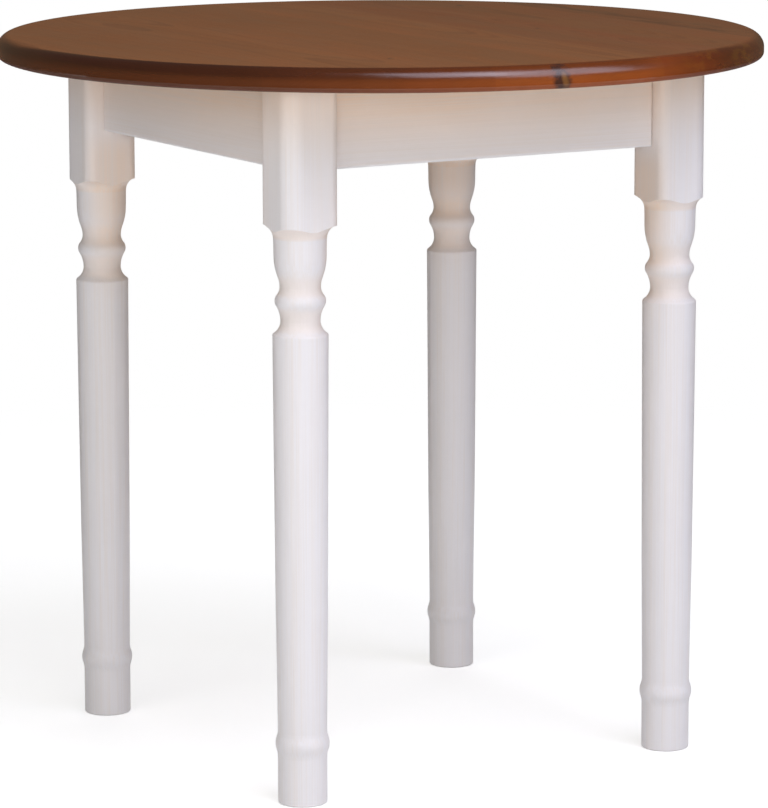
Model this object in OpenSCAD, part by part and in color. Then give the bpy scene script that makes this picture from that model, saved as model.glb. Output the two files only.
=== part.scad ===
// Round dining table. A glued pine top lies on a knock-down frame: four aprons meet four
// turned legs, and a steel plate bolted across each corner draws the leg tight.
// Millimetres. The floor is z = 0, +Z is up, and the front of the table faces -Y.

/* [Table] */
// Height from the floor to the surface of the top
table_h = 750; // [700:5:800]
// Width of the frame over the outer faces of two neighbouring legs
frame_w = 497; // [470:1:520]

/* [Top] */
// Diameter of the round top
top_d = 800; // [740:10:1000]
// Thickness of the boards
top_t = 24; // [22:0.5:32]
// Width of an inner board; the first and last board run out to the edge
board_w = 97; // [85:1:105]
// Radius of the rounding on the upper edge
edge_upper_r = 14; // [6:0.5:15]
// Radius of the rounding on the lower edge
edge_lower_r = 5.5; // [2:0.5:6]

/* [Leg block] */
// Width of the leg's square block
leg_w = 59; // [54:1:66]
// Height of the square block above its shoulder
block_h = 139; // [120:1:160]
// Radius of the block's outer corner, which faces away from the table
outer_corner_r = 18; // [10:1:20]
// Radius of the block's other three corners
side_corner_r = 10; // [4:1:12]

/* [Leg turning] */
// Radius of the hollow shoulder under the block
shoulder_r = 14; // [10:1:18]
// Diameter of the vase where it meets the shoulder
vase_d = 53.2; // [50:0.2:53.4]
// Diameter of the vase at the bottom of its straight part
vase_low_d = 52.6; // [48:0.2:53]
// Length of the vase's straight part
vase_straight_h = 17; // [8:1:30]
// Length of the curve from the vase down to the upper neck
vase_curve_h = 31; // [22:1:40]
// Diameter of the upper neck
upper_neck_d = 40.9; // [36:0.1:44]
// Length of the curve from the upper neck down to the collar bead
bead_upper_h = 14; // [10:1:18]
// Diameter of the collar bead
bead_d = 51; // [47:0.5:53]
// Length of the curve from the collar bead down to the lower neck
bead_lower_h = 20; // [14:1:26]
// Diameter of the lower neck
lower_neck_d = 39.7; // [36:0.1:44]
// Length of the curve from the lower neck down to the head of the column
column_head_h = 15; // [12:1:20]
// Diameter of the column at its head
column_head_d = 55.8; // [50:0.2:56]
// Diameter of the column where its taper quickens
column_mid_d = 52.6; // [50:0.2:54]
// Height of that place above the floor
column_mid_z = 200; // [120:5:300]
// Diameter of the column just above the foot ring
column_low_d = 49.8; // [46:0.2:52]
// Height of the foot ring's middle above the floor
ring_z = 61.5; // [45:0.5:90]
// Diameter of the foot ring
ring_d = 54.7; // [53:0.1:58]
// Length of the curve on each side of the foot ring
ring_curve_h = 13; // [8:0.5:18]
// Diameter of the foot below the ring
foot_d = 50; // [46:0.5:52]
// Radius of the edge around the bottom of the foot
foot_edge_r = 2; // [1:0.5:4]

/* [Aprons] */
// Height of an apron
apron_h = 86; // [76:1:100]
// Thickness of an apron
apron_t = 20; // [18:0.5:24]
// Setback of the apron's outer face behind the leg's outer face
apron_setback = 18.5; // [12:0.5:20]
// Radius of the apron's eased edges
apron_edge_r = 3; // [1:0.5:5]

/* [Corner plates] */
// Height of a corner plate
plate_h = 60; // [56:1:70]
// Thickness of its steel
plate_t = 2; // [1.5:0.1:3]
// Inner radius of its bends
plate_bend_r = 1; // [0.5:0.1:1.5]
// Width of the flange that lies on each apron
flange_w = 30; // [24:1:36]
// Depth of the hook in the apron's kerf
hook_depth = 7; // [5:0.5:9]
// Width of the flat seat cut on the leg's inner corner
seat_w = 15.4; // [14:0.2:20]
// Gap between that seat and the plate, which the nut closes on
draw_gap = 12; // [8:0.5:14]

/* [Hanger bolts] */
// Diameter of the hanger bolts
bolt_d = 8; // [6:1:8]
// Length of the bolt in the leg
bolt_in_leg = 38; // [30:1:42]
// Length of the bolt outside the leg
bolt_out = 32; // [28:1:36]
// Distance between the two bolts of a leg
bolt_pitch = 30; // [24:1:34]
// Width of a nut across its flats
nut_af = 13; // [12:0.5:14]
// Height of a nut
nut_h = 6.5; // [5:0.5:7]
// Diameter of a bolt washer
washer_d = 16; // [15:0.5:20]
// Thickness of a bolt washer
washer_t = 1.6; // [1:0.1:2]

/* [Cleats] */
// Gap between a cleat's end and the kerf of the nearest corner plate
cleat_end_gap = 22; // [10:1:40]
// Width of a cleat, from the apron into the room
cleat_w = 20; // [18:1:24]
// Height of a cleat
cleat_h = 20; // [18:1:24]
// Radius of a cleat's eased edge
cleat_edge_r = 2; // [1:0.5:3]
// Distance from a cleat's end to its nearest screw into the apron
cleat_screw_inset = 55; // [45:1:65]
// Distance from a cleat's end to its nearest screw into the top
top_screw_inset = 30; // [20:1:34]
// Travel that a cleat's slots leave the top across its grain
slot_travel = 4; // [2:0.5:6]

/* [Screws] */
// Diameter of every wood screw
screw_d = 4; // [3.5:0.1:4.5]
// Diameter of a screw's head
head_d = 8; // [7:0.5:9]
// Height of a pan head
head_h = 2.6; // [2:0.1:3]
// Length of a screw that holds a corner plate
plate_screw_l = 16; // [12:1:18]
// Length of a screw that holds a cleat
cleat_screw_l = 32; // [30:1:34]
// Length of a screw that holds the top
top_screw_l = 34; // [30:1:36]
// Distance between a flange's two screws
flange_pitch = 36; // [30:1:40]
// Diameter of the washer under a top screw
top_washer_d = 14; // [12:0.5:16]
// Thickness of that washer
top_washer_t = 1; // [0.8:0.1:1.4]

/* [Hidden] */
$fn = 96;

// Colours of the stained top, the painted frame, the bare cleats and the zinced steel
stain = [0.48, 0.33, 0.23];
paint = [0.91, 0.89, 0.88];
bare_pine = [0.84, 0.70, 0.50];
zinc = [0.74, 0.75, 0.76];

// Clearances: a shank in its hole in wood, a bolt or screw in its hole in steel, and a
// hook in its kerf on every side
wood_fit = 0.1;
steel_fit = 0.4;
kerf_fit = 0.3;
// Depth that a hole or kerf runs past the end of what it holds
run_out = 1;
// Amount that a cutting tool stands past the face that it starts from
over = 1;

// The boards of the top
board_count = 8;
top_r = top_d / 2;
top_under_z = table_h - top_t;

// Places across the frame, measured from the table's axis
face_out = frame_w / 2;
leg_axis = face_out - leg_w / 2;
leg_face_in = face_out - leg_w;
apron_face_out = face_out - apron_setback;
apron_face_in = apron_face_out - apron_t;
apron_low_z = top_under_z - apron_h;
apron_mid_z = top_under_z - apron_h / 2;

// Heights on the leg, from the top down and then from the floor up
block_low_z = top_under_z - block_h;
shoulder_z = block_low_z - shoulder_r;
vase_low_z = shoulder_z - vase_straight_h;
upper_neck_z = vase_low_z - vase_curve_h;
bead_z = upper_neck_z - bead_upper_h;
lower_neck_z = bead_z - bead_lower_h;
column_head_z = lower_neck_z - column_head_h;
ring_top_z = ring_z + ring_curve_h;
ring_low_z = ring_z - ring_curve_h;

// Hollow share of the height of each curve, counted from its neck
ring_hollow = 0.5;
head_hollow = 0.85;
bead_lower_hollow = 0.75;
bead_upper_hollow = 0.62;
vase_hollow = 0.3;

// The corner plate: distance of its web from the leg's axis, and the place along an
// apron's inner face where the web turns into the flange
seat_reach = leg_w / sqrt(2) - seat_w / 2;
web_reach = seat_reach + draw_gap;
plate_turn = 2 * leg_axis - web_reach * sqrt(2) - apron_face_in;
hook_place = plate_turn - flange_w;
plate_outer_r = plate_bend_r + plate_t;
web_tangent = plate_outer_r * tan(45 / 2);
bend_steps = 6;
plate_low_z = apron_mid_z - plate_h / 2;

// Screw places along the aprons and cleats
flange_screw_place = plate_turn - flange_w / 2;
cleat_end = hook_place - plate_bend_r - cleat_end_gap;
cleat_screw_place = cleat_end - cleat_screw_inset;
top_screw_place = cleat_end - top_screw_inset;
cleat_mid = apron_face_in - cleat_w / 2;
cleat_low_z = top_under_z - cleat_h;
head_cone_h = (head_d - screw_d) / 2;
screw_tip_h = screw_d;
bolt_tip_h = bolt_d;
bolt_chamfer = 1;
nut_chamfer = 0.6;
recess_w = 1;
recess_l = 4.4;
recess_depth = 1.4;

// Repeats a front-left piece at the four corners of the square frame
module at_each_corner() {
    for (quarter = [0 : 3])
        rotate([0, 0, 90 * quarter])
            children();
}

// Turns a piece of the front or of the front-left corner round to another side
module on_side(quarter) {
    rotate([0, 0, 90 * quarter])
        children();
}

// What a rounded corner loses: the corner lies at the origin and the solid in +X +Y
module corner_loss(r) {
    difference() {
        translate([-over, -over])
            square(r + over);
        translate([r, r])
            circle(r);
    }
}

// The top before it is divided into boards
module top_disc() {
    rotate_extrude($fn = 4 * $fn)
        difference() {
            square([top_r, top_t]);
            translate([top_r, 0])
                mirror([1, 0])
                    corner_loss(edge_lower_r);
            translate([top_r, top_t])
                rotate(180)
                    corner_loss(edge_upper_r);
        }
}

// Edge between board n and the next one
function board_edge(n) = (n - board_count / 2) * board_w;

// One board of the top, cut out of the round panel, with the top screws' pilot holes
module top_board(n) {
    left = n == 1 ? -top_r : board_edge(n - 1);
    right = n == board_count ? top_r : board_edge(n);
    color(stain)
        difference() {
            translate([0, 0, top_under_z])
                intersection() {
                    top_disc();
                    translate([left, -top_r, 0])
                        cube([right - left, top_d, top_t]);
                }
            at_each_top_screw()
                translate([0, 0, -over])
                    cylinder(h = top_screw_in_board() + run_out + over, d = screw_d + 2 * wood_fit);
        }
}

// Length of a top screw that stands in the board
function top_screw_in_board() = top_screw_l - cleat_h - top_washer_t;

// Places children on the top's underside at each screw that holds the top
module at_each_top_screw() {
    at_each_corner()
        for (side = [-1, 1])
            translate([side * top_screw_place, -cleat_mid, top_under_z])
                children();
}

// Section of the leg's turned part between the axis and radius r
module turned_slab(r, z_from, z_to) {
    translate([0, min(z_from, z_to)])
        square([r, abs(z_to - z_from)]);
}

// Straight taper between two radii
module turned_taper(z_low, r_low, z_high, r_high) {
    polygon([[0, z_low], [r_low, z_low], [r_high, z_high], [0, z_high]]);
}

// Ogee from a neck to a swelling, upwards or downwards. It leaves both parallel to the
// axis: a hollow arc over the given share of its height runs into a round arc.
module turned_ogee(z_neck, r_neck, z_swell, r_swell, hollow_share) {
    rise = r_swell - r_neck;
    height = abs(z_swell - z_neck);
    both_radii = (height * height + rise * rise) / (2 * rise);
    hollow_r = both_radii * hollow_share;
    round_r = both_radii - hollow_r;
    z_turn = z_neck + (z_swell - z_neck) * hollow_share;
    r_turn = r_neck + rise * hollow_share;
    difference() {
        turned_slab(r_turn, z_neck, z_turn);
        translate([r_neck + hollow_r, z_neck])
            circle(hollow_r);
    }
    turned_slab(r_turn, z_turn, z_swell);
    intersection() {
        turned_slab(r_swell, z_turn, z_swell);
        translate([r_swell - round_r, z_swell])
            circle(round_r);
    }
}

// Half section of everything below the shoulder
module turned_section() {
    difference() {
        turned_slab(foot_d / 2, 0, ring_low_z);
        translate([foot_d / 2, 0])
            mirror([1, 0])
                corner_loss(foot_edge_r);
    }
    turned_ogee(ring_low_z, foot_d / 2, ring_z, ring_d / 2, ring_hollow);
    turned_ogee(ring_top_z, column_low_d / 2, ring_z, ring_d / 2, ring_hollow);
    turned_taper(ring_top_z, column_low_d / 2, column_mid_z, column_mid_d / 2);
    turned_taper(column_mid_z, column_mid_d / 2, column_head_z, column_head_d / 2);
    turned_ogee(lower_neck_z, lower_neck_d / 2, column_head_z, column_head_d / 2, head_hollow);
    turned_ogee(lower_neck_z, lower_neck_d / 2, bead_z, bead_d / 2, bead_lower_hollow);
    turned_ogee(upper_neck_z, upper_neck_d / 2, bead_z, bead_d / 2, bead_upper_hollow);
    turned_ogee(upper_neck_z, upper_neck_d / 2, vase_low_z, vase_low_d / 2, vase_hollow);
    turned_taper(vase_low_z, vase_low_d / 2, shoulder_z, vase_d / 2);
}

// Half section of the hollow shoulder, before the square block limits it
module shoulder_section() {
    difference() {
        turned_slab(vase_d / 2 + shoulder_r, shoulder_z, block_low_z);
        translate([vase_d / 2 + shoulder_r, shoulder_z])
            circle(shoulder_r);
    }
}

// Outline of the square block, with its outer corner towards -X -Y
module block_outline() {
    difference() {
        square(leg_w, center = true);
        for (quarter = [0 : 3])
            rotate(90 * quarter)
                translate([-leg_w / 2, -leg_w / 2])
                    corner_loss(quarter == 0 ? outer_corner_r : side_corner_r);
    }
}

// The front-left leg: turned below, square above, with the seat and the pilot holes for
// the hanger bolts on the corner that faces the middle of the table
module front_left_leg() {
    color(paint)
        translate([-leg_axis, -leg_axis, 0])
            difference() {
                union() {
                    rotate_extrude()
                        turned_section();
                    intersection() {
                        rotate_extrude()
                            shoulder_section();
                        translate([0, 0, shoulder_z])
                            linear_extrude(shoulder_r)
                                block_outline();
                    }
                    translate([0, 0, block_low_z])
                        linear_extrude(block_h)
                            block_outline();
                }
                rotate([0, 0, 45])
                    translate([seat_reach, -leg_w / 2, apron_low_z])
                        cube([leg_w, leg_w, apron_h + over]);
                at_each_bolt()
                    translate([0, 0, -bolt_in_leg - run_out])
                        cylinder(h = bolt_in_leg + run_out + over, d = bolt_d + 2 * wood_fit);
            }
}

// Places children at the two bolts of the leg at the origin: +Z runs out of the seat
// towards the middle of the table
module at_each_bolt() {
    for (side = [-1, 1])
        translate([0, 0, apron_mid_z + side * bolt_pitch / 2])
            rotate([0, 0, 45])
                translate([seat_reach, 0, 0])
                    rotate([0, 90, 0])
                        children();
}

// Places children at every bolt of the table
module at_all_bolts() {
    at_each_corner()
        translate([-leg_axis, -leg_axis, 0])
            at_each_bolt()
                children();
}

// The front apron, between the two front legs
module front_apron() {
    color(paint)
        difference() {
            intersection() {
                translate([-leg_face_in, 0, 0])
                    rotate([90, 0, 90])
                        linear_extrude(2 * leg_face_in)
                            apron_section();
                translate([0, 0, apron_low_z])
                    linear_extrude(apron_h)
                        apron_plan();
            }
            for (end = [0, 1])
                mirror([end, 0, 0]) {
                    plate_kerf();
                    at_flange_screws()
                        screw_hole(plate_screw_l - plate_t);
                }
            at_cleat_screws()
                screw_hole(cleat_screw_l - cleat_w);
        }
}

// Section of the front apron, seen along it: outer face to the left, lower edges eased
module apron_section() {
    difference() {
        translate([-apron_face_out, apron_low_z])
            square([apron_t, apron_h]);
        translate([-apron_face_out, apron_low_z])
            corner_loss(apron_edge_r);
        translate([-apron_face_in, apron_low_z])
            mirror([1, 0])
                corner_loss(apron_edge_r);
    }
}

// Plan of the front apron, with the outer edges of its ends eased
module apron_plan() {
    difference() {
        translate([-leg_face_in, -apron_face_out])
            square([2 * leg_face_in, apron_t]);
        for (end = [0, 1])
            mirror([end, 0])
                translate([-leg_face_in, -apron_face_out])
                    corner_loss(apron_edge_r);
    }
}

// Saw kerf at the left end of the front apron, for the hook of the corner plate
module plate_kerf() {
    kerf_w = plate_t + plate_bend_r + 2 * kerf_fit;
    kerf_depth = hook_depth + run_out;
    translate([-hook_place - plate_bend_r - kerf_fit, -apron_face_in - kerf_depth, apron_low_z - over])
        cube([kerf_w, kerf_depth + over, apron_h + 2 * over]);
}

// Places children on the inner face of the front apron, at the left flange's screws. In
// these frames and the next ones +Z runs out of the wood, towards the screw's head.
module at_flange_screws() {
    for (side = [-1, 1])
        translate([-flange_screw_place, -apron_face_in, apron_mid_z + side * flange_pitch / 2])
            rotate([-90, 0, 0])
                children();
}

// Places children on the inner face of the front apron, at the cleat's screws
module at_cleat_screws() {
    for (side = [-1, 1])
        translate([side * cleat_screw_place, -apron_face_in, cleat_low_z + cleat_h / 2])
            rotate([-90, 0, 0])
                children();
}

// Pilot hole for the stated length of screw, below the face that it is drilled from
module screw_hole(depth) {
    translate([0, 0, -depth - run_out])
        cylinder(h = depth + run_out + over, d = screw_d + 2 * wood_fit);
}

// Points along a bend's arc, from one direction round to another
function bend_arc(centre, r, from, to) = [
    for (step = [0 : bend_steps])
        let (angle = from + (to - from) * step / bend_steps)
            centre + r * [cos(angle), sin(angle)]
];

// Half of one surface of the corner plate in plan, from the hook in the left apron to the
// middle of the web, with the radii of its hook bend and its web bend
function half_surface(hook_y, hook_r, web_r) = concat(
    [[-apron_face_in - hook_depth, hook_y]],
    bend_arc([-apron_face_in - plate_bend_r, -hook_place - plate_bend_r], hook_r, 90, 0),
    bend_arc([-apron_face_in + plate_outer_r, -plate_turn + web_tangent], web_r, 180, 225)
);

// The same points reflected into the front apron's half, and the points in reverse
function across(points) = [for (point = points) [point[1], point[0]]];
function backwards(points) = [for (n = [len(points) - 1 : -1 : 0]) points[n]];

// Plan of the front-left corner plate: along the leg's side and back along the room's
function plate_outline() =
    let (
        leg_side = half_surface(-hook_place, plate_bend_r, plate_outer_r),
        room_side = half_surface(-hook_place + plate_t, plate_outer_r, plate_bend_r)
    )
    concat(leg_side, across(backwards(leg_side)), across(room_side), backwards(room_side));

// The front-left corner plate: a strip hooked into the left and the front apron
module front_left_plate() {
    color(zinc)
        difference() {
            translate([0, 0, plate_low_z])
                linear_extrude(plate_h)
                    polygon(plate_outline());
            for (flange = [0, 1])
                mirror([flange, -flange, 0])
                    at_flange_screws()
                        translate([0, 0, -over])
                            cylinder(h = plate_t + 2 * over, d = screw_d + 2 * steel_fit);
            translate([-leg_axis, -leg_axis, 0])
                at_each_bolt()
                    translate([0, 0, draw_gap - over])
                        cylinder(h = plate_t + 2 * over, d = bolt_d + 2 * steel_fit);
        }
}

// The front cleat, with its screw holes and the slots for the top screws. The slots run
// across the boards, so slot_turn is 0 on the front and back cleats and 90 on the others.
module front_cleat(slot_turn) {
    color(bare_pine)
        difference() {
            translate([-cleat_end, 0, 0])
                rotate([90, 0, 90])
                    linear_extrude(2 * cleat_end)
                        cleat_section();
            at_cleat_screws()
                translate([0, 0, cleat_w])
                    countersunk_hole(cleat_w);
            for (side = [-1, 1])
                translate([side * top_screw_place, -cleat_mid, cleat_low_z])
                    rotate([0, 0, slot_turn])
                        top_slot();
        }
}

// Section of the front cleat, seen along it: the apron to the left, the lower edge eased
module cleat_section() {
    difference() {
        translate([-apron_face_in, cleat_low_z])
            square([cleat_w, cleat_h]);
        translate([-apron_face_in + cleat_w, cleat_low_z])
            mirror([1, 0])
                corner_loss(cleat_edge_r);
    }
}

// Hole of the given depth for a countersunk screw, down from z = 0
module countersunk_hole(depth) {
    hole_d = screw_d + 2 * wood_fit;
    cone_h = head_cone_h + wood_fit;
    translate([0, 0, -depth - over])
        cylinder(h = depth + over, d = hole_d);
    translate([0, 0, -cone_h])
        cylinder(h = cone_h + over, d1 = hole_d, d2 = hole_d + 2 * (cone_h + over));
}

// Slot up through a cleat, lengthwise along X, with its middle above the origin
module top_slot() {
    slot_w = screw_d + 2 * steel_fit;
    translate([-slot_travel / 2, -slot_w / 2, -over])
        cube([slot_travel, slot_w, cleat_h + 2 * over]);
    for (end = [-1, 1])
        translate([end * slot_travel / 2, 0, -over])
            cylinder(h = cleat_h + 2 * over, d = slot_w);
}

// Cross recess in a screw's head whose top is at height z
module cross_recess(z) {
    for (turn = [0, 90])
        rotate([0, 0, turn])
            translate([-recess_l / 2, -recess_w / 2, z - recess_depth])
                cube([recess_l, recess_w, recess_depth + over]);
}

// Shank and point of a wood screw, hanging down from z = 0
module screw_shank(length) {
    translate([0, 0, -length + screw_tip_h])
        cylinder(h = length - screw_tip_h, d = screw_d);
    translate([0, 0, -length])
        cylinder(h = screw_tip_h, d1 = 0, d2 = screw_d);
}

// Pan head screw: the head stands on z = 0
module pan_screw(length) {
    dome_r = (head_d * head_d / 4 + head_h * head_h) / (2 * head_h);
    screw_shank(length);
    difference() {
        intersection() {
            cylinder(h = head_h, d = head_d);
            translate([0, 0, head_h - dome_r])
                sphere(dome_r);
        }
        cross_recess(head_h);
    }
}

// Countersunk screw: the flat of its head lies at z = 0
module flat_screw(length) {
    difference() {
        union() {
            screw_shank(length);
            translate([0, 0, -head_cone_h])
                cylinder(h = head_cone_h, d1 = screw_d, d2 = head_d);
        }
        cross_recess(0);
    }
}

module hanger_bolts() {
    shank_r = bolt_d / 2;
    color(zinc)
        at_all_bolts()
            rotate_extrude()
                polygon([
                    [0, -bolt_in_leg], [shank_r, bolt_tip_h - bolt_in_leg],
                    [shank_r, bolt_out - bolt_chamfer], [shank_r - bolt_chamfer, bolt_out], [0, bolt_out]
                ]);
}

module hanger_washers() {
    color(zinc)
        at_all_bolts()
            translate([0, 0, draw_gap + plate_t])
                difference() {
                    cylinder(h = washer_t, d = washer_d);
                    translate([0, 0, -over])
                        cylinder(h = washer_t + 2 * over, d = bolt_d + steel_fit);
                }
}

module hanger_nuts() {
    corner_d = nut_af / cos(30);
    color(zinc)
        at_all_bolts()
            translate([0, 0, draw_gap + plate_t + washer_t])
                difference() {
                    intersection() {
                        cylinder(h = nut_h, d = corner_d, $fn = 6);
                        rotate_extrude()
                            polygon([
                                [0, 0], [nut_af / 2, 0], [corner_d / 2, nut_chamfer],
                                [corner_d / 2, nut_h - nut_chamfer], [nut_af / 2, nut_h], [0, nut_h]
                            ]);
                    }
                    translate([0, 0, -over])
                        cylinder(h = nut_h + 2 * over, d = bolt_d + 2 * wood_fit);
                }
}

module plate_screws() {
    color(zinc)
        at_each_corner()
            for (flange = [0, 1])
                mirror([flange, -flange, 0])
                    at_flange_screws()
                        translate([0, 0, plate_t])
                            pan_screw(plate_screw_l);
}

module cleat_screws() {
    color(zinc)
        at_each_corner()
            at_cleat_screws()
                translate([0, 0, cleat_w])
                    flat_screw(cleat_screw_l);
}

module top_screws() {
    color(zinc)
        at_each_top_screw()
            translate([0, 0, -cleat_h - top_washer_t])
                rotate([180, 0, 0])
                    pan_screw(top_screw_l);
}

module top_washers() {
    color(zinc)
        at_each_top_screw()
            translate([0, 0, -cleat_h - top_washer_t])
                difference() {
                    cylinder(h = top_washer_t, d = top_washer_d);
                    translate([0, 0, -over])
                        cylinder(h = top_washer_t + 2 * over, d = screw_d + steel_fit);
                }
}

module leg_front_left() { on_side(0) front_left_leg(); }
module leg_front_right() { on_side(1) front_left_leg(); }
module leg_back_right() { on_side(2) front_left_leg(); }
module leg_back_left() { on_side(3) front_left_leg(); }

module apron_front() { on_side(0) front_apron(); }
module apron_right() { on_side(1) front_apron(); }
module apron_back() { on_side(2) front_apron(); }
module apron_left() { on_side(3) front_apron(); }

module corner_plate_front_left() { on_side(0) front_left_plate(); }
module corner_plate_front_right() { on_side(1) front_left_plate(); }
module corner_plate_back_right() { on_side(2) front_left_plate(); }
module corner_plate_back_left() { on_side(3) front_left_plate(); }

module cleat_front() { on_side(0) front_cleat(0); }
module cleat_right() { on_side(1) front_cleat(90); }
module cleat_back() { on_side(2) front_cleat(0); }
module cleat_left() { on_side(3) front_cleat(90); }

top_board(1);  // top_board_1
top_board(2);  // top_board_2
top_board(3);  // top_board_3
top_board(4);  // top_board_4
top_board(5);  // top_board_5
top_board(6);  // top_board_6
top_board(7);  // top_board_7
top_board(8);  // top_board_8
leg_front_left();
leg_front_right();
leg_back_right();
leg_back_left();
apron_front();
apron_right();
apron_back();
apron_left();
corner_plate_front_left();
corner_plate_front_right();
corner_plate_back_right();
corner_plate_back_left();
cleat_front();
cleat_right();
cleat_back();
cleat_left();
hanger_bolts();
hanger_washers();
hanger_nuts();
plate_screws();
cleat_screws();
top_screws();
top_washers();
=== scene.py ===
import math
import random

import bmesh
import bpy
from mathutils import Euler, Matrix, Vector


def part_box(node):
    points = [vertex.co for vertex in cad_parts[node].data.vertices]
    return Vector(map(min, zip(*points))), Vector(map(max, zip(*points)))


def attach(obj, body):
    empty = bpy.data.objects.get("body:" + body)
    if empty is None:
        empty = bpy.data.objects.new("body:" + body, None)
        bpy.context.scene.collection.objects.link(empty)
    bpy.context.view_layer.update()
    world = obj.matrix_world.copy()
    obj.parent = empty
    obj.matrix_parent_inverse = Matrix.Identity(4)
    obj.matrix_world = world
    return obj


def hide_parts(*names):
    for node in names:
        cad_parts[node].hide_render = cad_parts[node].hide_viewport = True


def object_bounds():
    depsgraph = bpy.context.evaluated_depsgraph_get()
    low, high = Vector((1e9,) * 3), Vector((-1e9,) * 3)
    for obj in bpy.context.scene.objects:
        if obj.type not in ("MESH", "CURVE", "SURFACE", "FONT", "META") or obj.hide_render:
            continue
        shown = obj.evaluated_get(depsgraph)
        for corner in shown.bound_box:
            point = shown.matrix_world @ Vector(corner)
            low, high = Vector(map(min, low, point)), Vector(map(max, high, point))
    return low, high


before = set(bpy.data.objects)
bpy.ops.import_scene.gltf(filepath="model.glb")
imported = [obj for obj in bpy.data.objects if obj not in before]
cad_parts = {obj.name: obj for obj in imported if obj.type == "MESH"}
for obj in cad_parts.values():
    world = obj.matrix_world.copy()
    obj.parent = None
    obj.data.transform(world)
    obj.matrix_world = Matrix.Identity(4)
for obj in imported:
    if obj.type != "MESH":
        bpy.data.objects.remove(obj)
cad_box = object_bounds()

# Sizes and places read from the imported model, in metres
BOARD_LOW, BOARD_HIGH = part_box("top_board_4")
LEG_LOW, LEG_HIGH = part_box("leg_front_right")
APRON_LOW, APRON_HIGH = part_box("apron_front")
BOARD_COUNT = sum(name.startswith("top_board_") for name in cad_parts)
TOP_Z = BOARD_HIGH.z
UNDER_Z = BOARD_LOW.z
TOP_R = cad_box[1].x
LEG_AXIS = (LEG_LOW.x + LEG_HIGH.x) / 2
APRON_MID_Z = (APRON_LOW.z + APRON_HIGH.z) / 2
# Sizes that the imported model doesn't give, as they are in the part's source
TOP_ROUNDING_R = 0.014
FLAT_R = TOP_R - TOP_ROUNDING_R
SIDE_Z = TOP_Z - TOP_ROUNDING_R
SHOULDER_Z = 0.573

# The values that most of a noise lies between
NOISE_RANGE = (0.3, 0.7)


class Graph:
    """Adds nodes to the tree of a material or the world. An input may be a number, a tuple or a socket."""

    def __init__(self, owner):
        owner.use_nodes = True
        self.tree = owner.node_tree
        self.tree.nodes.clear()

    def add(self, kind, inputs=None, **settings):
        node = self.tree.nodes.new("ShaderNode" + kind)
        for name, value in settings.items():
            setattr(node, name, value)
        for name, value in (inputs or {}).items():
            self.feed(node.inputs[name], value)
        return node

    def feed(self, socket, value):
        if isinstance(value, bpy.types.NodeSocket):
            self.tree.links.new(value, socket)
        elif isinstance(value, tuple) and socket.type == "RGBA":
            socket.default_value = value + (1.0,)
        else:
            socket.default_value = value

    def math(self, operation, a, b=0.0):
        return self.add("Math", {0: a, 1: b}, operation=operation).outputs[0]

    def plus(self, a, b):
        return self.math("ADD", a, b)

    def minus(self, a, b):
        return self.math("SUBTRACT", a, b)

    def times(self, first, *others):
        for other in others:
            first = self.math("MULTIPLY", first, other)
        return first

    def larger(self, a, b):
        return self.math("MAXIMUM", a, b)

    def length(self, a, b):
        """The length of a flat vector with these two sides."""
        return self.math("SQRT", self.plus(self.times(a, a), self.times(b, b)))

    def join(self, x, y, z):
        return self.add("CombineXYZ", {"X": x, "Y": y, "Z": z}).outputs["Vector"]

    def split(self, vector):
        parts = self.add("SeparateXYZ", {"Vector": vector}).outputs
        return parts["X"], parts["Y"], parts["Z"]

    def place(self):
        """The X, Y and Z of the shaded point in the table's own frame, or of a ray into the world."""
        return self.split(self.add("TexCoord").outputs["Object"])

    def scaled(self, place, scales, seed=0.0):
        """The point with each coordinate multiplied by its scale, moved off by a seed."""
        x, y, z = (self.times(part, scale) for part, scale in zip(place, scales))
        return self.join(self.plus(x, seed), y, z)

    def noise(self, vector, detail=2.0):
        inputs = {"Vector": vector, "Scale": 1.0, "Detail": detail}
        return self.add("TexNoise", inputs).outputs["Fac"]

    def marks(self, place, scales, seed=0.0, detail=2.0):
        """Noise with about this many marks to the metre along each of the place's coordinates."""
        return self.noise(self.scaled(place, scales, seed), detail)

    def ease(self, value, start, end, low=0.0, high=1.0):
        """Goes smoothly from low to high while the value goes from start to end."""
        inputs = {"Value": value, "From Min": start, "From Max": end, "To Min": low, "To Max": high}
        return self.add("MapRange", inputs, interpolation_type="SMOOTHSTEP").outputs["Result"]

    def swing(self, noise, spread):
        """Turns a noise from 0 to 1 into a factor that swings about 1 by the spread."""
        return self.plus(self.times(self.minus(noise, 0.5), 2 * spread), 1.0)

    def between(self, factor, low, high):
        """The number that lies this share of the way from low to high."""
        return self.plus(self.times(factor, high - low), low)

    def mix(self, factor, a, b):
        return self.add("Mix", {0: factor, 6: a, 7: b}, data_type="RGBA").outputs[2]

    def tint(self, factor, colour, filtered):
        """Multiplies a colour by another one where the factor is 1."""
        inputs = {0: factor, 6: colour, 7: filtered}
        return self.add("Mix", inputs, data_type="RGBA", blend_type="MULTIPLY").outputs[2]

    def shade(self, colour, factor):
        """Multiplies a colour by one number."""
        node = self.add("VectorMath", {0: colour, "Scale": factor}, operation="SCALE")
        return node.outputs["Vector"]

    def bump(self, height, distance):
        return self.add("Bump", {"Height": height, "Distance": distance}).outputs["Normal"]

    def surface(self, shader):
        output = self.add("OutputMaterial")
        self.tree.links.new(shader.outputs[0], output.inputs["Surface"])


# Camera, at the photograph's place and lens
IMAGE_LONG_SIDE_PX = 808
SENSOR_MM = 36.0
FOCAL_PX = 4377.7
CAMERA_PLACE = Vector((-2.2946, -3.9581, 1.1656))
CAMERA_HEADING = math.radians(30.14)
CAMERA_TILT = math.radians(10.061)
CAMERA_ROLL = math.radians(0.103)


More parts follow.
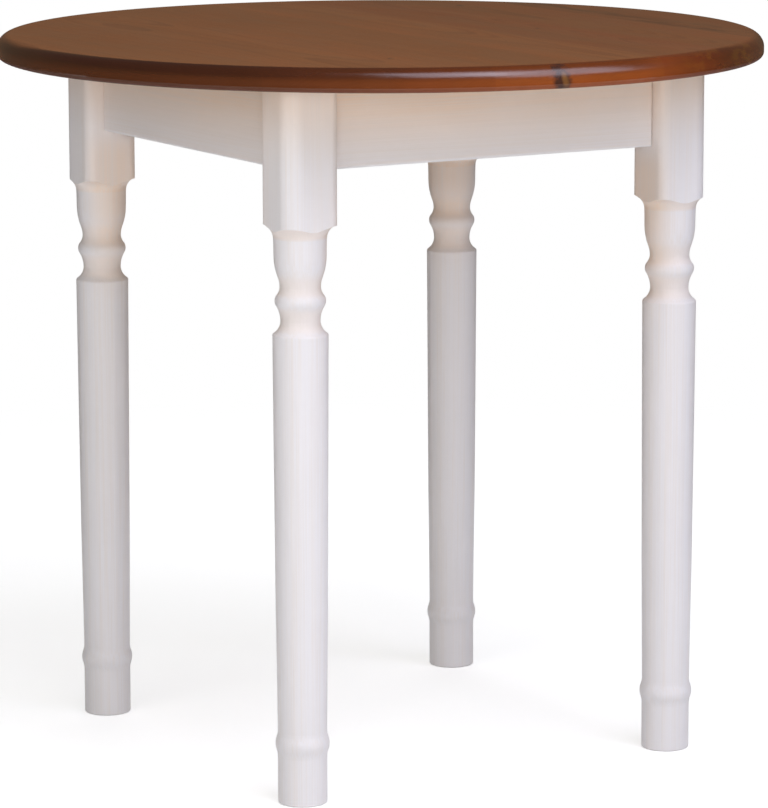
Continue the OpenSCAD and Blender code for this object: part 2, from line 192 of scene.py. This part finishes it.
def make_camera():
    data = bpy.data.cameras.new("camera")
    data.sensor_width = SENSOR_MM
    data.lens = FOCAL_PX * SENSOR_MM / IMAGE_LONG_SIDE_PX
    camera = bpy.data.objects.new("camera", data)
    bpy.context.collection.objects.link(camera)
    aim = Euler((math.pi / 2 - CAMERA_TILT, 0, -CAMERA_HEADING)).to_matrix()
    roll = Matrix.Rotation(-CAMERA_ROLL, 3, "Z")
    camera.matrix_world = Matrix.Translation(CAMERA_PLACE) @ (aim @ roll).to_4x4()
    bpy.context.scene.camera = camera


# Studio light: soft panels round the table, and a dim even light from everywhere
LAMP_AIM = Vector((0.0, 0.0, 0.5))
DAYLIGHT = (0.80, 0.82, 0.98)
WHITE = (1.0, 1.0, 1.0)
# Name, heading and elevation in degrees, distance, width, height, radiance, colour, shows in gloss
LAMPS = (
    ("window", 153, 41, 3.0, 2.05, 2.1, 2.3, DAYLIGHT, True),
    ("side_window", 183, 54, 3.0, 1.4, 1.9, 2.55, DAYLIGHT, True),
    ("high", 178, 62, 3.0, 2.0, 1.6, 1.2, WHITE, False),
    ("front", 205, 8, 2.0, 1.35, 0.8, 3.35, WHITE, False),
    ("left", 252, 21, 1.5, 1.0, 0.9, 1.75, WHITE, False),
    ("back", 30, 14, 3.0, 3.0, 1.2, 2.3, WHITE, False),
    ("overhead", 0, 89, 2.6, 2.0, 2.0, 1.25, WHITE, False),
)
AMBIENT = (0.15, 0.15, 0.15)
# What gloss mirrors beyond the floor near the table: the photograph's room, dim and darker above
ROOM_WALL = (0.128, 0.097, 0.066)
ROOM_CEILING = (0.075, 0.065, 0.065)
CEILING_RISE = (0.3, 0.6)


def towards(heading, elevation):
    """The unit vector to a compass heading, clockwise from +Y, at an elevation, in degrees."""
    h, e = math.radians(heading), math.radians(elevation)
    return Vector((math.sin(h) * math.cos(e), math.cos(h) * math.cos(e), math.sin(e)))


def make_lamp(name, heading, elevation, distance, width, height, radiance, colour, mirrored):
    data = bpy.data.lights.new(name, "AREA")
    data.shape = "RECTANGLE"
    data.size = width
    data.size_y = height
    data.energy = radiance * math.pi * width * height
    data.color = colour
    # With this on, a lamp that gloss doesn't show leaves white dots on the lacquer
    data.cycles.use_multiple_importance_sampling = mirrored
    lamp = bpy.data.objects.new(name, data)
    bpy.context.collection.objects.link(lamp)
    lamp.location = LAMP_AIM + towards(heading, elevation) * distance
    lamp.rotation_euler = towards(heading, elevation).to_track_quat("Z", "Y").to_euler()
    lamp.visible_camera = False
    lamp.visible_glossy = mirrored


def backdrop(g, mirrored):
    """Which rays see the backdrop itself, and its colour: white, but another one in gloss."""
    ray = g.add("LightPath").outputs
    seen = g.larger(ray["Is Camera Ray"], ray["Is Transmission Ray"])
    seen = g.larger(seen, ray["Is Glossy Ray"])
    return seen, g.mix(ray["Is Glossy Ray"], WHITE, mirrored)


def make_world():
    world = bpy.data.worlds.new("world")
    bpy.context.scene.world = world
    g = Graph(world)
    x, y, rise = g.place()
    seen, colour = backdrop(g, g.mix(g.ease(rise, *CEILING_RISE), ROOM_WALL, ROOM_CEILING))
    background = g.add("Background", {"Color": g.mix(seen, AMBIENT, colour), "Strength": 1.0})
    output = g.add("OutputWorld")
    g.tree.links.new(background.outputs[0], output.inputs["Surface"])


# Pale floor
FLOOR_SIZE = 60.0
FLOOR_COLOUR = (0.72, 0.72, 0.72)
# What lifts the lit floor to white round the table's shadow
FLOOR_LIFT = 0.54
# The distances from the table's middle between which the shadow fades out
SHADOW_FADE_R = (0.7, 2.0)


def make_floor():
    """A pale floor that keeps the table's soft shadow near it, and is clear from below."""
    bpy.ops.mesh.primitive_plane_add(size=FLOOR_SIZE, location=(0, 0, 0))
    floor = bpy.context.object
    floor.name = "floor"
    material = bpy.data.materials.new("pale_floor")
    g = Graph(material)
    x, y, z = g.place()
    seen, colour = backdrop(g, ROOM_WALL)
    lit = g.add("BsdfDiffuse", {"Color": FLOOR_COLOUR}).outputs[0]
    lift = g.add("Emission", {"Strength": FLOOR_LIFT}).outputs[0]
    near = g.add("AddShader", {0: lit, 1: lift}).outputs[0]
    far = g.add("Emission", {"Color": colour}).outputs[0]
    away = g.ease(g.length(x, y), *SHADOW_FADE_R)
    shown = g.add("MixShader", {0: away, 1: near, 2: far}).outputs[0]
    above = g.add("MixShader", {0: seen, 1: lit, 2: shown}).outputs[0]
    clear = g.add("BsdfTransparent").outputs[0]
    below = g.add("NewGeometry").outputs["Backfacing"]
    g.surface(g.add("MixShader", {0: below, 1: above, 2: clear}))
    floor.data.materials.append(material)


# Pine: rings round a pith that wanders along the piece, fibres, streaks and knots
# How far apart in the noise two pieces with seeds next to each other lie
SEED_STEP = 17.3
# The pith lies up to this share of the piece's width from its middle, and this far above or below
PITH_ASIDE = 0.45
PITH_AWAY = (0.035, 0.085)
# It slopes by this much along the piece, and wanders this far, this often to the metre
PITH_SLOPE = (0.010, 0.022)
PITH_WANDER = 0.020
WANDER_SCALE = 1.7
# The width of a year's ring, how far it ripples, and by how many rings the years bunch up
RING_W = (0.0022, 0.0036)
RING_RIPPLE = 0.0005
RIPPLE_SCALES = (70.0, 5.0, 70.0)
UNEVEN_RINGS = 2.5
UNEVEN_SCALE = 0.37
# The shares of a year's growth over which its dark late wood comes on, and over which it ends
LATE_START = (0.30, 0.90)
LATE_END = (0.93, 1.0)
# Each year's late wood has its strength from a noise, in which two years lie this far apart
YEAR_STEP = 3.1
YEAR_RANGE = (0.25, 0.75)
WEAKEST_YEAR = 0.45
# How fine the other marks are, in marks to the metre across the grain, along it, and up
FIBRE_SCALES = (1300.0, 14.0, 1300.0)
STREAK_SCALES = (26.0, 1.1, 26.0)
BLOTCH_SCALES = (7.0, 5.0, 7.0)
BLOTCH_SEED = 5.0
# A knot leans this much from upright. Along the grain a distance from it counts for less, so it is
# longer that way
KNOT_LEAN = 0.2
KNOT_ALONG_SHARE = 0.75
# In knot radii: how ragged a knot is, where it fades out, and how far it bends the rings round it
KNOT_JITTER = 1.6
KNOT_JITTER_SCALES = (120.0, 120.0, 190.0)
KNOT_SEED_STEP = 90.0
KNOT_FADE = (0.4, 1.1)
BEND = 1.1
BEND_FADE = (0.6, 3.2)
# In knot radii too: the place of its heart and where that fades out. It is less ragged
HEART_ASIDE = 0.25
HEART_BACK = 0.35
HEART_FADE = (0.30, 0.55)
HEART_JITTER_SHARE = 0.15


class Timber:
    """How one piece of pine was cut: its grain's direction, its pith, its rings and its knots."""

    def __init__(self, seed, box, grain, knots=()):
        low, high = box
        middle = (low + high) / 2
        across = {"Y": 0, "X": 1}[grain]
        width = (high - low)[across]
        chance = random.Random(seed)
        self.seed = seed * SEED_STEP
        self.grain = grain
        self.pith_across = middle[across] + chance.uniform(-PITH_ASIDE, PITH_ASIDE) * width
        self.pith_up = middle.z + chance.uniform(*PITH_AWAY) * chance.choice((-1, 1))
        self.slope = chance.uniform(*PITH_SLOPE) * chance.choice((-1, 1))
        self.ring_w = chance.uniform(*RING_W)
        self.knots = knots


class Pine:
    """The node sockets that draw one piece of pine."""

    def __init__(self, g, timber):
        x, y, z = g.place()
        across, along, up = (x, y, z) if timber.grain == "Y" else (y, x, z)
        self.place = (across, along, up)
        self.knot = 0.0
        self.heart = 0.0
        radius = self.from_pith(g, timber)
        for knot in timber.knots:
            radius = self.add_knot(g, radius, *knot)
        self.late = self.late_wood(g, timber, radius)
        self.fibre = g.marks(self.place, FIBRE_SCALES, timber.seed, detail=3.0)
        self.streak = g.marks(self.place, STREAK_SCALES, timber.seed, detail=4.0)
        self.blotch = g.marks(self.place, BLOTCH_SCALES, timber.seed + BLOTCH_SEED, detail=3.0)

    def from_pith(self, g, timber):
        """The distance from the pith, which wanders and slopes along the piece."""
        across, along, up = self.place
        drift = g.join(g.times(along, WANDER_SCALE), timber.seed, 0.0)
        sway = g.add("TexNoise", {"Vector": drift, "Scale": 1.0, "Detail": 1.0}).outputs["Color"]
        sway_aside, sway_up, unused = g.split(sway)
        aside = g.plus(g.minus(across, timber.pith_across),
                       g.times(g.minus(sway_aside, 0.5), 2 * PITH_WANDER))
        above = g.plus(g.minus(up, timber.pith_up),
                       g.times(g.minus(sway_up, 0.5), 2 * PITH_WANDER))
        return g.length(aside, g.plus(above, g.times(along, timber.slope)))

    def late_wood(self, g, timber, radius):
        """The dark, dense part of each year's ring, stronger in some years than in others."""
        ripple = g.marks(self.place, RIPPLE_SCALES, timber.seed)
        radius = g.plus(radius, g.times(g.minus(ripple, 0.5), 2 * RING_RIPPLE))
        rings = g.times(radius, 1.0 / timber.ring_w)
        uneven = g.noise(g.join(g.times(rings, UNEVEN_SCALE), timber.seed, 0.0))
        rings = g.plus(rings, g.times(uneven, UNEVEN_RINGS))
        grown = g.math("FRACT", rings)
        late = g.times(g.ease(grown, *LATE_START), g.ease(grown, *LATE_END, 1.0, 0.0))
        year = g.join(g.times(g.math("FLOOR", rings), YEAR_STEP), timber.seed, 0.0)
        return g.times(late, g.ease(g.noise(year, detail=0.0), *YEAR_RANGE, WEAKEST_YEAR, 1.0))

    def add_knot(self, g, radius, knot_across, knot_along, size):
        """Adds a knot with a paler heart off its middle, and bends the rings round it."""
        across, along, up = self.place
        jitter = g.marks(self.place, KNOT_JITTER_SCALES, knot_along * KNOT_SEED_STEP, detail=4.0)
        jitter = g.times(g.minus(jitter, 0.5), size * KNOT_JITTER)
        aside = g.minus(g.plus(across, g.times(g.minus(up, TOP_Z), KNOT_LEAN)), knot_across)
        ahead = g.times(g.minus(along, knot_along), KNOT_ALONG_SHARE)
        reach = g.plus(g.length(aside, ahead), jitter)
        from_heart = g.length(g.minus(aside, HEART_ASIDE * size), g.plus(ahead, HEART_BACK * size))
        from_heart = g.plus(from_heart, g.times(jitter, HEART_JITTER_SHARE))
        self.knot = g.larger(self.knot, self.inside(g, reach, size, KNOT_FADE))
        self.heart = g.larger(self.heart, self.inside(g, from_heart, size, HEART_FADE))
        return g.plus(radius, self.inside(g, reach, size, BEND_FADE, size * BEND))

    def inside(self, g, distance, size, fade, amount=1.0):
        """The whole amount in the middle of a knot, and nothing past where it has faded out."""
        start, end = fade
        return g.ease(distance, size * start, size * end, amount, 0.0)


# Bare pine of the cleats and of the top's underside
BARE_EARLY = (0.66, 0.46, 0.26)
BARE_LATE = (0.50, 0.29, 0.12)
UNDERSIDE_BLOTCH_SWING = 0.10
CLEAT_SEED = 31
CLEAT_FIBRE_SWING = 0.12
CLEAT_BLOTCH_SWING = 0.08
CLEAT_ROUGHNESS = (0.60, 0.75)
CLEAT_SPECULAR = 0.35
# How high the late wood stands, as a share of the fibres
CLEAT_LATE_HEIGHT = 0.5
CLEAT_BUMP = 0.00015


def bare_pine(name, grain):
    """The bare pine of one cleat."""
    material = bpy.data.materials.new("bare_pine_" + name)
    g = Graph(material)
    pine = Pine(g, Timber(CLEAT_SEED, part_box(name), grain))
    tone = g.times(g.swing(pine.fibre, CLEAT_FIBRE_SWING), g.swing(pine.blotch, CLEAT_BLOTCH_SWING))
    height = g.plus(g.times(pine.late, CLEAT_LATE_HEIGHT), pine.fibre)
    shader = g.add("BsdfPrincipled", {
        "Base Color": g.shade(g.mix(pine.late, BARE_EARLY, BARE_LATE), tone),
        "Roughness": g.ease(pine.fibre, *NOISE_RANGE, *CLEAT_ROUGHNESS),
        "Specular IOR Level": CLEAT_SPECULAR,
        "Normal": g.bump(height, CLEAT_BUMP),
    })
    g.surface(shader)
    return material


# Brown stain on the boards of the top
STAIN_EARLY = (0.263, 0.0855, 0.0221)
STAIN_LATE = (0.216, 0.066, 0.0165)
STAIN_KNOT = (0.055, 0.018, 0.010)
STAIN_HEART = (0.200, 0.080, 0.020)
# What the stain is multiplied by in the streaks that took it redder
STAIN_RUSSET = (0.97, 0.80, 0.84)
RUSSET_RANGE = (0.42, 0.62)
# How pale each board is after the stain, from the left, on its face and round the rim
FACE_TONES = (1.00, 1.02, 1.06, 1.00, 1.07, 0.95, 0.93, 0.82)
RIM_TONES = (1.00, 1.02, 0.96, 1.06, 1.04, 0.98, 0.96, 0.94)
# How much redder than the others each board's streaks are, from the left
RUSSET_SHARES = (0.2, 0.2, 0.3, 0.2, 0.3, 1.0, 0.6, 0.5)
# How far each kind of mark swings the tone, and how much of the rings shows round the rim
STREAK_SWING = 0.12
FIBRE_SWING = 0.07
BLOTCH_SWING = 0.12
END_GRAIN_CONTRAST = 0.35
# Knots of the boards, by board: place across and along, and radius
BOARD_KNOTS = {
    3: ((-0.141, -0.262, 0.005),),
    4: ((-0.031, -0.399, 0.011),),
    6: ((0.158, -0.060, 0.004),),
    7: ((0.233, 0.222, 0.006),),
}
# Boards with a dark streak along the grain: its middle, its half width and how dark it is
DARK_STREAKS = {8: (0.312, 0.030, 0.35)}
# The mottling of a dark streak, and the share of its half width that is darkest
MOTTLE_SCALES = (55.0, 12.0, 55.0)
MOTTLE_SEED = 2.0
MOTTLE_RANGE = (0.44, 0.62)
DARKEST_SHARE = 0.2

# Stain and painted shade on the rim
# It ends sharply at the front left, and fades into the face's stain elsewhere. These are how far
# it fades, and how far towards the front left the wide fade turns into the sharp one
SHARP_HEADING = 210
SHARP_FADE = 0.003
WIDE_FADE = 0.011
FADE_REACH = (0.13, 0.24)
# It is russet at the left and, as painted shade where it faces away from the light, darker there. It turns
# paler and amber towards the middle and the back. These two multiply the colour of the face
RIM_RUSSET = (1.05, 0.82, 0.80)
RIM_AMBER = (1.03, 0.71, 0.36)
# The tone of the painted shade at the left, and where the rim turns amber and leaves that shade
LEFT_SHADE_TONE = 0.30
UNSHADED_AMBER_X = (-0.36, 0.0)
UNSHADED_AMBER_Y = (0.09, 0.18)
# Towards the right end it turns darker again
RIGHT_X = (0.06, 0.22)
RIGHT_TONE = 0.44
# The upper rounding is darker than the side, and less so at the right. Its extra darkness towards the left
# is painted shade
ROUNDING_Z = (SIDE_Z - 0.001, SIDE_Z + 0.007)
ROUNDING_X = (0.06, 0.11)
ROUNDING_TONES = (0.50, 0.78)
# Golden patches towards the right end, which multiply the rim's colour
RIM_GOLD = (1.35, 1.95, 1.30)
GOLD_SCALES = (60.0, 60.0, 90.0)
GOLD_SEED = 6.0
GOLD_RANGE = (0.47, 0.64)
GOLD_X = (0.10, 0.22)

# Satin lacquer
LACQUER_IOR = 1.75
# Past a roughness of 0.27 the render's denoiser draws faint outlines on it
LACQUER_ROUGHNESS = (0.20, 0.262)
LACQUER_BUMP = 0.00003
WEAR_SCALES = (38.0, 12.0, 38.0)
WEAR_SEED = 3.0
# It gets thin and rough down the lower rounding, and the underside has neither stain nor lacquer
THIN_LACQUER_Z = (UNDER_Z + 0.0055, UNDER_Z + 0.003)
THIN_LACQUER_ROUGHNESS = 0.6
UNDERSIDE_Z = (UNDER_Z + 0.0004, UNDER_Z + 0.0001)


def dark_streak(g, pine, middle, half_w, depth):
    """A factor that darkens a mottled streak along the grain."""
    across, along, up = pine.place
    mottle = g.marks(pine.place, MOTTLE_SCALES, MOTTLE_SEED, detail=4.0)
    aside = g.math("ABSOLUTE", g.minus(across, middle))
    share = g.times(g.ease(aside, half_w, DARKEST_SHARE * half_w), g.ease(mottle, *MOTTLE_RANGE))
    return g.between(share, 1.0, 1.0 - depth)


def rim_share(g, place):
    """How far the rim's stain has taken over from the face's."""
    x, y, z = place
    sharp = towards(SHARP_HEADING, 0)
    reach = g.plus(g.times(x, sharp.x), g.times(y, sharp.y))
    fade = g.ease(reach, *FADE_REACH, WIDE_FADE, SHARP_FADE)
    return g.ease(g.length(x, y), FLAT_R, g.plus(fade, FLAT_R))


def rim_stain_and_shade(g, place, face_colour):
    """The colour of the rim, given the colour of the face, with painted shade at the front left."""
    x, y, z = place
    # Painted shade: darker at the front left, where the rim faces away from the light
    amber_unshaded = g.larger(g.ease(x, *UNSHADED_AMBER_X), g.ease(y, *UNSHADED_AMBER_Y))
    colour = g.tint(1.0, face_colour, g.mix(amber_unshaded, RIM_RUSSET, RIM_AMBER))
    side_shade_and_tone = g.times(g.between(amber_unshaded, LEFT_SHADE_TONE, 1.0), g.ease(x, *RIGHT_X, 1.0, RIGHT_TONE))
    # The upper rounding darker, with painted shade towards the left
    rounding_tone = g.ease(x, *ROUNDING_X, *ROUNDING_TONES)
    rounding_tone = g.plus(1.0, g.times(g.ease(z, *ROUNDING_Z), g.minus(rounding_tone, 1.0)))
    colour = g.shade(colour, g.times(rounding_tone, side_shade_and_tone))
    patches = g.marks(place, GOLD_SCALES, GOLD_SEED, detail=3.0)
    return g.tint(g.times(g.ease(patches, *GOLD_RANGE), g.ease(x, *GOLD_X)), colour, RIM_GOLD)


def board_tone(g, pine, number, rim):
    """How pale the stain is on one board, given how far the rim's has taken over."""
    tone = g.times(
        g.between(rim, FACE_TONES[number - 1], RIM_TONES[number - 1]),
        g.swing(pine.streak, STREAK_SWING),
        g.swing(pine.fibre, FIBRE_SWING),
        g.swing(pine.blotch, BLOTCH_SWING),
    )
    if number in DARK_STREAKS:
        tone = g.times(tone, dark_streak(g, pine, *DARK_STREAKS[number]))
    return tone


def board_stain_and_shade(g, pine, number):
    """The colour of the stain on one board, on its face and round the rim, with painted shade on the rim's
    front left.
    """
    rim = rim_share(g, pine.place)
    late = g.times(pine.late, g.between(rim, 1.0, END_GRAIN_CONTRAST))
    russet = RUSSET_SHARES[number - 1]
    redder = g.ease(pine.streak, *RUSSET_RANGE, russet / 2, russet)
    colour = g.tint(redder, g.mix(late, STAIN_EARLY, STAIN_LATE), STAIN_RUSSET)
    colour = g.shade(colour, board_tone(g, pine, number, rim))
    colour = g.mix(rim, colour, rim_stain_and_shade(g, pine.place, colour))
    colour = g.mix(pine.knot, colour, STAIN_KNOT)
    return g.mix(pine.heart, colour, STAIN_HEART)


def stained_board(number):
    """The finish of one board of the top: stain under lacquer, with painted shade on the rim's front left,
    and bare pine below.
    """
    timber = Timber(number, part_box(f"top_board_{number}"), "Y", BOARD_KNOTS.get(number, ()))
    material = bpy.data.materials.new(f"stained_board_{number}")
    g = Graph(material)
    pine = Pine(g, timber)
    x, y, z = pine.place
    bare = g.mix(pine.late, BARE_EARLY, BARE_LATE)
    bare = g.shade(bare, g.swing(pine.blotch, UNDERSIDE_BLOTCH_SWING))
    wear = g.marks(pine.place, WEAR_SCALES, WEAR_SEED, detail=4.0)
    roughness = g.ease(wear, *NOISE_RANGE, *LACQUER_ROUGHNESS)
    shader = g.add("BsdfPrincipled", {
        "Base Color": g.mix(g.ease(z, *UNDERSIDE_Z), board_stain_and_shade(g, pine, number), bare),
        "Roughness": g.plus(roughness, g.ease(z, *THIN_LACQUER_Z, 0.0, THIN_LACQUER_ROUGHNESS)),
        "IOR": LACQUER_IOR,
        "Normal": g.bump(pine.fibre, LACQUER_BUMP),
    })
    g.surface(shader)
    return material


# White satin paint, with the brush marks and grain that show through it, and painted warm shade
PAINT = (0.835, 0.806, 0.812)
# The colour that painted warm shade turns the paint to
PAINT_WARM_SHADE = (0.86, 0.68, 0.54)
PAINT_THIN = (0.80, 0.73, 0.68)
PAINT_ROUGHNESS = (0.36, 0.48)
PAINT_BUMP = 0.00018
# How fine the lines in the paint are, in lines to the metre: across the grain, and along it
FINE = 620.0
LONG = 5.0
# How fine and how high the broad lines among them are, as shares of the fine ones
BROAD_FINENESS = 0.16
BROAD_HEIGHT = 0.7
BROAD_SEED = 4.0
BROAD_SWING = 0.03
# Where the lines leave the paint thin, and how far its thin colour shows there
FINE_LINES_SHARE = 0.6
THIN_RANGE = (0.40, 0.72)
THIN_SHARE = 0.6
# Clouds, which vary the gloss and how strong the painted warm shade under the top is
CLOUD_SCALES = (9.0, 9.0, 9.0)
CLOUD_SEED = 8.0
CLOUD_SWING = 0.5
# Painted warm shade and bounced light towards the underside of the top, on the aprons more than on the
# legs
WARM_SHADE_Z = (APRON_LOW.z - 0.005, UNDER_Z)
APRON_WARM_SHADE = 1.0
LEG_WARM_SHADE = 0.6
# Painted warm shade in the hollows of the turning, where the leg's radius is this small
HOLLOW_R = (0.0255, 0.0205)
HOLLOW_WARM_SHADE = 0.3
# Painted warm shade on the shoulders under the square, which face down
ABOVE_SHOULDER_Z = (SHOULDER_Z - 0.0005, SHOULDER_Z + 0.0005)
SHOULDER_SLOPE = (-0.02, -0.20)
SHOULDER_WARM_SHADE = 0.42
# Painted warm shade on the legs' inner sides, from the upper neck up, and less so up the square
INNER_REACH = (0.022, -0.028)
INNER_START_Z = (0.44, 0.58)
INNER_WARM_SHADE = 0.75
INNER_FADE_Z = (0.61, 0.65)
INNER_FADED_SHARE = 0.3


def leg_warm_shade(g, place):
    """How strong a leg's painted warm shade is, apart from the painted shade under the top."""
    x, y, z = place
    aside = g.minus(g.math("ABSOLUTE", x), LEG_AXIS)
    ahead = g.minus(g.math("ABSOLUTE", y), LEG_AXIS)
    # Painted warm shade in the hollows, on the down-facing shoulders and on the inner sides
    hollow = g.ease(g.length(aside, ahead), *HOLLOW_R, 0.0, HOLLOW_WARM_SHADE)
    normal_x, normal_y, normal_z = g.split(g.add("NewGeometry").outputs["Normal"])
    shoulder = g.times(g.ease(z, *ABOVE_SHOULDER_Z, 0.0, SHOULDER_WARM_SHADE),
                       g.ease(normal_z, *SHOULDER_SLOPE))
    inner = g.times(g.ease(g.plus(aside, ahead), *INNER_REACH),
                    g.ease(z, *INNER_START_Z, 0.0, INNER_WARM_SHADE),
                    g.ease(z, *INNER_FADE_Z, 1.0, INNER_FADED_SHARE))
    return g.plus(g.plus(hollow, shoulder), inner)


def white_paint(name, line_scales, top_warm_shade, on_leg):
    """White satin paint on pine, with painted warm shade. The line scales say how fine its lines are along
    X, Y and Z.
    """
    material = bpy.data.materials.new(name)
    g = Graph(material)
    place = g.place()
    x, y, z = place
    broad_scales = tuple(scale * BROAD_FINENESS for scale in line_scales)
    lines = g.marks(place, line_scales, detail=3.0)
    broad = g.marks(place, broad_scales, BROAD_SEED, detail=3.0)
    cloud = g.marks(place, CLOUD_SCALES, CLOUD_SEED, detail=3.0)
    # Painted warm shade under the top, varied by the clouds, and on the legs also in their hollows,
    # shoulders and inner sides
    warm_shade = g.times(g.ease(z, *WARM_SHADE_Z, 0.0, top_warm_shade), g.swing(cloud, CLOUD_SWING))
    if on_leg:
        warm_shade = g.plus(warm_shade, leg_warm_shade(g, place))
    thin = g.plus(g.times(lines, FINE_LINES_SHARE), g.times(broad, 1 - FINE_LINES_SHARE))
    thin = g.ease(thin, *THIN_RANGE, 0.0, THIN_SHARE)
    colour = g.mix(thin, g.mix(warm_shade, PAINT, PAINT_WARM_SHADE), PAINT_THIN)
    shader = g.add("BsdfPrincipled", {
        "Base Color": g.shade(colour, g.swing(broad, BROAD_SWING)),
        "Roughness": g.ease(cloud, *NOISE_RANGE, *PAINT_ROUGHNESS),
        "Normal": g.bump(g.plus(lines, g.times(broad, BROAD_HEIGHT)), PAINT_BUMP),
    })
    g.surface(shader)
    return material


# Zinc plated steel, mottled by clouds and by the zinc's crystals
ZINC_LIGHT = (0.78, 0.80, 0.83)
ZINC_DARK = (0.58, 0.60, 0.63)
ZINC_CLOUD_SCALES = (60.0, 60.0, 60.0)
ZINC_CLOUD_SHARE = 0.7
CRYSTAL_SCALES = (350.0, 350.0, 350.0)
CRYSTAL_SHARE = 0.4
ZINC_RANGE = (0.3, 0.8)
ZINC_ROUGHNESS = (0.28, 0.46)
ZINC_BUMP = 0.00003


def zinc_steel():
    material = bpy.data.materials.new("zinc_steel")
    g = Graph(material)
    place = g.place()
    cloud = g.marks(place, ZINC_CLOUD_SCALES, detail=5.0)
    inputs = {"Vector": g.scaled(place, CRYSTAL_SCALES), "Scale": 1.0}
    crystals = g.add("TexVoronoi", inputs).outputs["Distance"]
    mottle = g.plus(g.times(cloud, ZINC_CLOUD_SHARE), g.times(crystals, CRYSTAL_SHARE))
    shader = g.add("BsdfPrincipled", {
        "Base Color": g.mix(g.ease(mottle, *ZINC_RANGE), ZINC_LIGHT, ZINC_DARK),
        "Metallic": 1.0,
        "Roughness": g.ease(mottle, *ZINC_RANGE, *ZINC_ROUGHNESS),
        "Normal": g.bump(mottle, ZINC_BUMP),
    })
    g.surface(shader)
    return material


# Hanger bolts, as they are in the part's source, here with their M8 thread
BOLT_IN_LEG = 0.038
BOLT_OUT = 0.032
BOLT_R = 0.004
BOLT_POINT_H = 0.008
BOLT_CHAMFER = 0.001
THREAD_PITCH = 0.00125
THREAD_DEPTH = 0.00060
THREAD_STEPS = 6
AROUND = 24
# How far apart a corner's two bolts are, and how far the leg's axis is from the seat they stand on
BOLT_PITCH = 0.030
SEAT_REACH = 0.03402


def bolt_radius(height, turn):
    """A bolt's radius at a height over the leg's seat and a share of a turn."""
    if height < THREAD_PITCH:
        return BOLT_R
    phase = (height / THREAD_PITCH - turn) % 1.0
    groove = THREAD_DEPTH * (1 - abs(2 * phase - 1))
    chamfer = max(0.0, height - (BOLT_OUT - BOLT_CHAMFER))
    return min(BOLT_R - groove, BOLT_R - chamfer)


def add_bolt_ring(bm, placed, height):
    """Adds the points round a bolt at one height."""
    ring = []
    for k in range(AROUND):
        r = bolt_radius(height, k / AROUND)
        angle = 2 * math.pi * k / AROUND
        ring.append(bm.verts.new(placed @ Vector((r * math.cos(angle), r * math.sin(angle), height))))
    return ring


def add_bolt(bm, placed):
    """Adds one hanger bolt along +Z of the given place: its point and shank, then its thread."""
    step = THREAD_PITCH / THREAD_STEPS
    threaded = [THREAD_PITCH + step * i for i in range(int((BOLT_OUT - THREAD_PITCH) / step))]
    heights = [BOLT_POINT_H - BOLT_IN_LEG, 0.0] + threaded + [BOLT_OUT]
    rings = [add_bolt_ring(bm, placed, height) for height in heights]
    point = bm.verts.new(placed @ Vector((0, 0, -BOLT_IN_LEG)))
    for k in range(AROUND):
        after = (k + 1) % AROUND
        bm.faces.new((point, rings[0][after], rings[0][k]))
        for lower, upper in zip(rings, rings[1:]):
            bm.faces.new((lower[k], lower[after], upper[after], upper[k]))
    bm.faces.new(rings[-1])


def make_hanger_bolts(zinc):
    """Two bolts through each corner plate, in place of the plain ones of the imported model."""
    bm = bmesh.new()
    seat_r = LEG_AXIS * math.sqrt(2) - SEAT_REACH
    lying = Matrix.Rotation(math.pi / 2, 4, "Y")
    for quarter in range(4):
        corner = Matrix.Rotation(math.radians(45 + 90 * quarter), 4, "Z")
        for side in (-1, 1):
            seat = Vector((-seat_r, 0, APRON_MID_Z + side * BOLT_PITCH / 2))
            add_bolt(bm, corner @ Matrix.Translation(seat) @ lying)
    mesh = bpy.data.meshes.new("threaded_hanger_bolts")
    bm.to_mesh(mesh)
    bm.free()
    mesh.materials.append(zinc)
    bolts = bpy.data.objects.new("threaded_hanger_bolts", mesh)
    bpy.context.collection.objects.link(bolts)
    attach(bolts, "root")
    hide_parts("hanger_bolts")


def dress(node, material):
    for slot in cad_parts[node].material_slots:
        slot.material = material


def dress_all(zinc):
    for number in range(1, BOARD_COUNT + 1):
        dress(f"top_board_{number}", stained_board(number))
    leg_paint = white_paint("paint_leg", (FINE, FINE, LONG), LEG_WARM_SHADE, True)
    front_paint = white_paint("paint_front", (LONG, FINE, FINE), APRON_WARM_SHADE, False)
    side_paint = white_paint("paint_side", (FINE, LONG, FINE), APRON_WARM_SHADE, False)
    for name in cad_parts:
        if name.startswith("leg_"):
            dress(name, leg_paint)
        elif name in ("apron_front", "apron_back"):
            dress(name, front_paint)
        elif name in ("apron_left", "apron_right"):
            dress(name, side_paint)
        elif name in ("cleat_front", "cleat_back"):
            dress(name, bare_pine(name, "X"))
        elif name in ("cleat_left", "cleat_right"):
            dress(name, bare_pine(name, "Y"))
        elif not name.startswith("top_board_"):
            dress(name, zinc)


bpy.context.scene.view_settings.view_transform = "Standard"
make_camera()
make_world()
make_floor()
for lamp in LAMPS:
    make_lamp(*lamp)
zinc = zinc_steel()
dress_all(zinc)
make_hanger_bolts(zinc)
